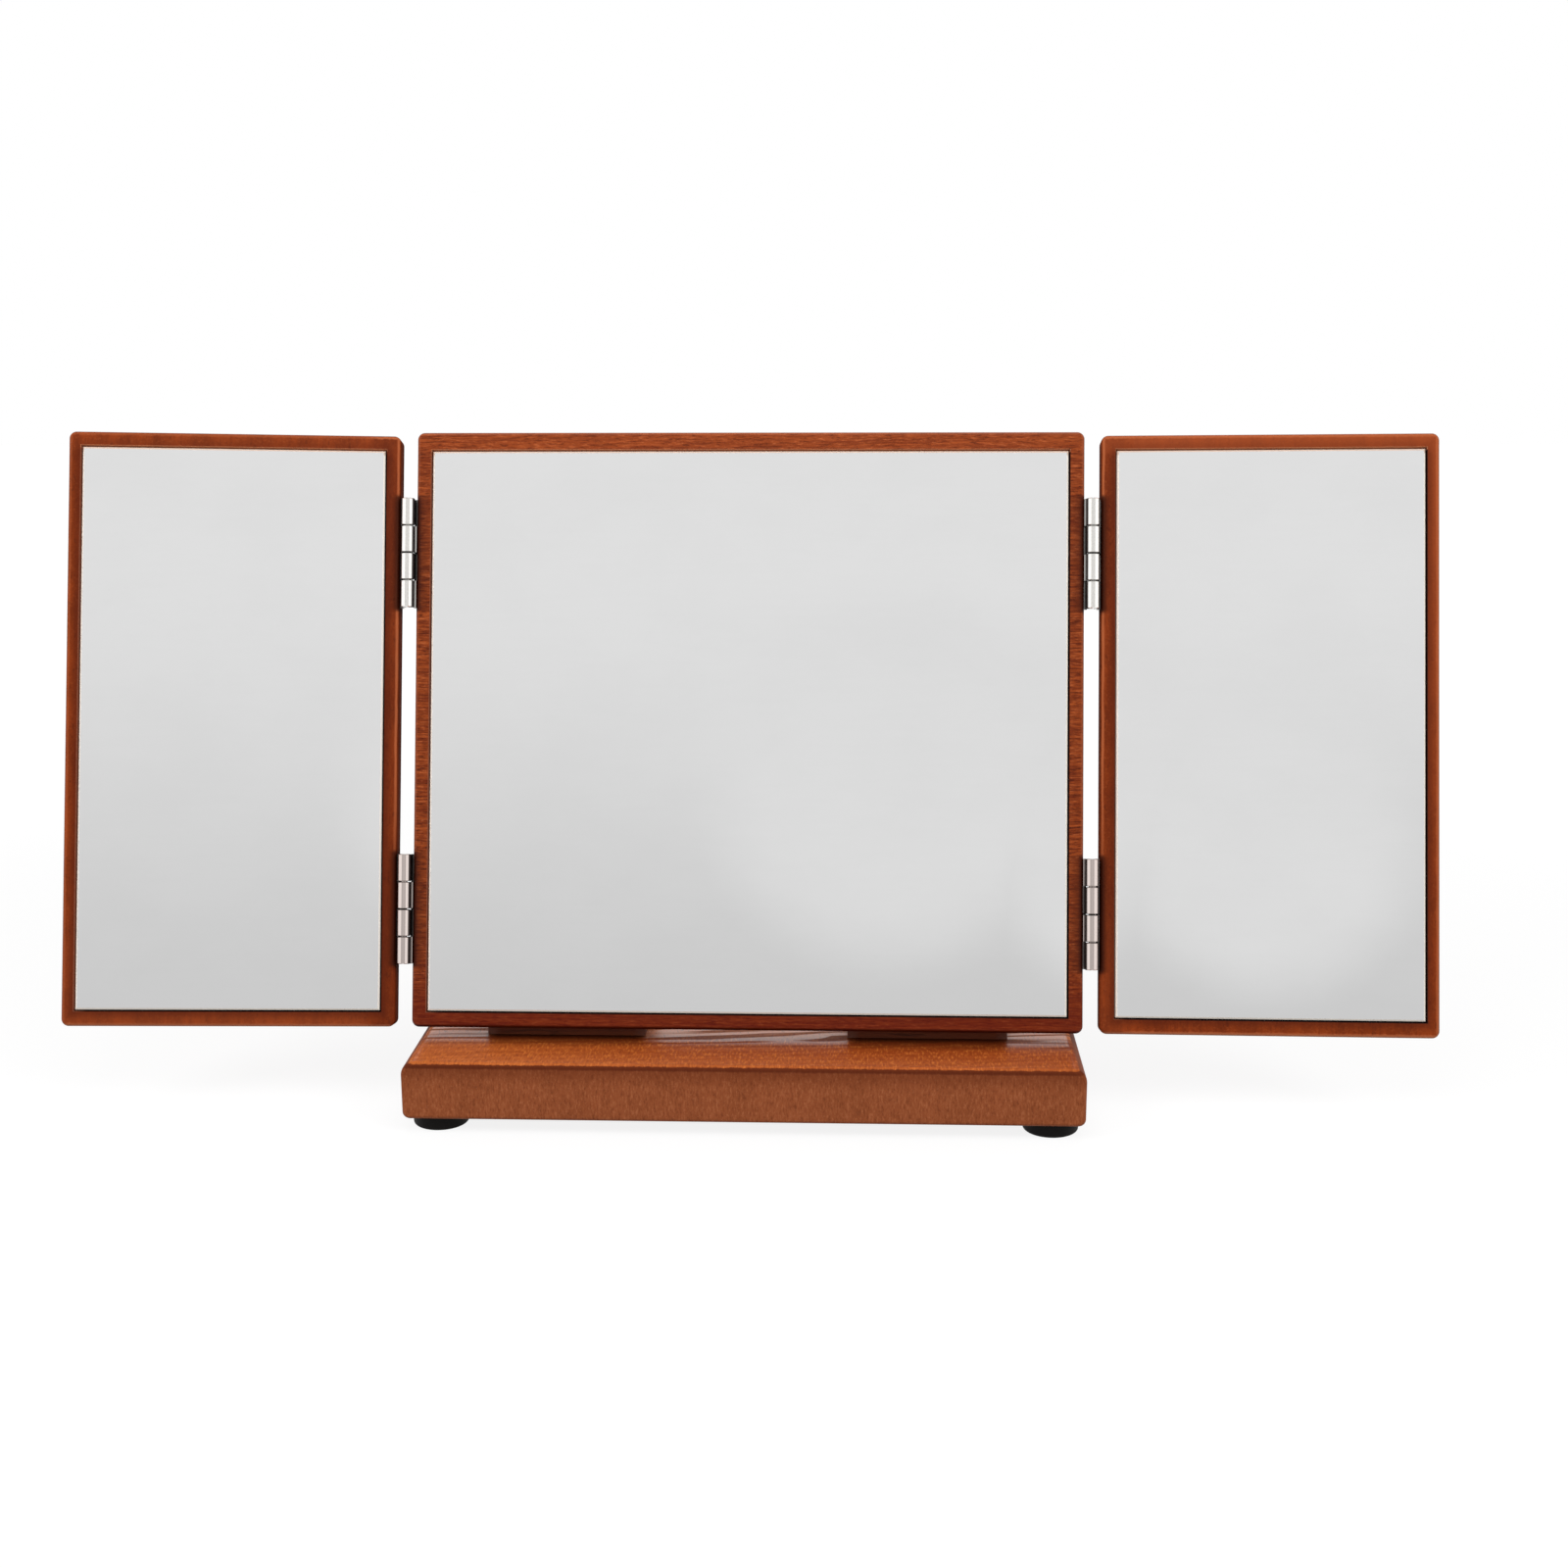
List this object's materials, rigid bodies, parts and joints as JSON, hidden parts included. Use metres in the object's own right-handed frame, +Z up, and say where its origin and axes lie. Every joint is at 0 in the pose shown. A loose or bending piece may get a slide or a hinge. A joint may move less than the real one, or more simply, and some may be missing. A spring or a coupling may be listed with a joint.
{
  "type": "triptych vanity mirror",
  "caption": "Tabletop mirror leaning back on a board base with rubber feet, with a mirrored wing hinged on each side that folds forward over it.",
  "frame": {"origin": "on the table top, under the middle of the base", "axes": "+X to the viewer's right, +Y away from the viewer, +Z up"},
  "size_m": [0.4725, 0.09, 0.2331],
  "materials": {
    "base_veneer": "glossy reddish brown veneer",
    "centre_veneer": "satin reddish brown veneer",
    "wing_lacquer": "satin reddish brown lacquer",
    "support_wood": "satin reddish brown lacquer",
    "mirror_glass": "silvered glass",
    "foam_tape": "white foam",
    "foot_rubber": "satin black rubber",
    "hinge_nickel": "bright nickel plate",
    "screw_steel": "zinc plated steel"
  },
  "bodies": {
    "stand": {"base_board": "base_veneer", "front_left_foot": "foot_rubber", "front_right_foot": "foot_rubber", "rear_left_foot": "foot_rubber", "rear_right_foot": "foot_rubber", "foot_washers": "screw_steel", "foot_screws": "screw_steel", "left_support_block": "support_wood", "right_support_block": "support_wood", "support_base_screws": "screw_steel", "centre_panel": "centre_veneer", "centre_mirror": "mirror_glass", "centre_mirror_tape": "foam_tape", "centre_hinge_screws": "screw_steel", "support_panel_screws": "screw_steel", "left_upper_hinge_centre_leaf": "hinge_nickel", "left_upper_hinge_pin": "hinge_nickel", "left_lower_hinge_centre_leaf": "hinge_nickel", "left_lower_hinge_pin": "hinge_nickel", "right_upper_hinge_centre_leaf": "hinge_nickel", "right_upper_hinge_pin": "hinge_nickel", "right_lower_hinge_centre_leaf": "hinge_nickel", "right_lower_hinge_pin": "hinge_nickel"},
    "left_wing": {"left_panel": "wing_lacquer", "left_mirror": "mirror_glass", "left_mirror_tape": "foam_tape", "left_wing_hinge_screws": "screw_steel", "left_upper_hinge_wing_leaf": "hinge_nickel", "left_lower_hinge_wing_leaf": "hinge_nickel"},
    "right_wing": {"right_panel": "wing_lacquer", "right_mirror": "mirror_glass", "right_mirror_tape": "foam_tape", "right_wing_hinge_screws": "screw_steel", "right_upper_hinge_wing_leaf": "hinge_nickel", "right_lower_hinge_wing_leaf": "hinge_nickel"}
  },
  "joints": [
    {"name": "left_wing_hinge", "type": "hinge", "parent": "stand", "child": "left_wing", "pos_m": [-0.1188, 0.00024, 0.13126], "axis": [0, 0.2419, 0.9703], "range_deg": [-20, 175]},
    {"name": "right_wing_hinge", "type": "hinge", "parent": "stand", "child": "right_wing", "pos_m": [0.1188, 0.00024, 0.13126], "axis": [0, -0.2419, -0.9703], "range_deg": [-16.8, 178.2]}
  ]
}
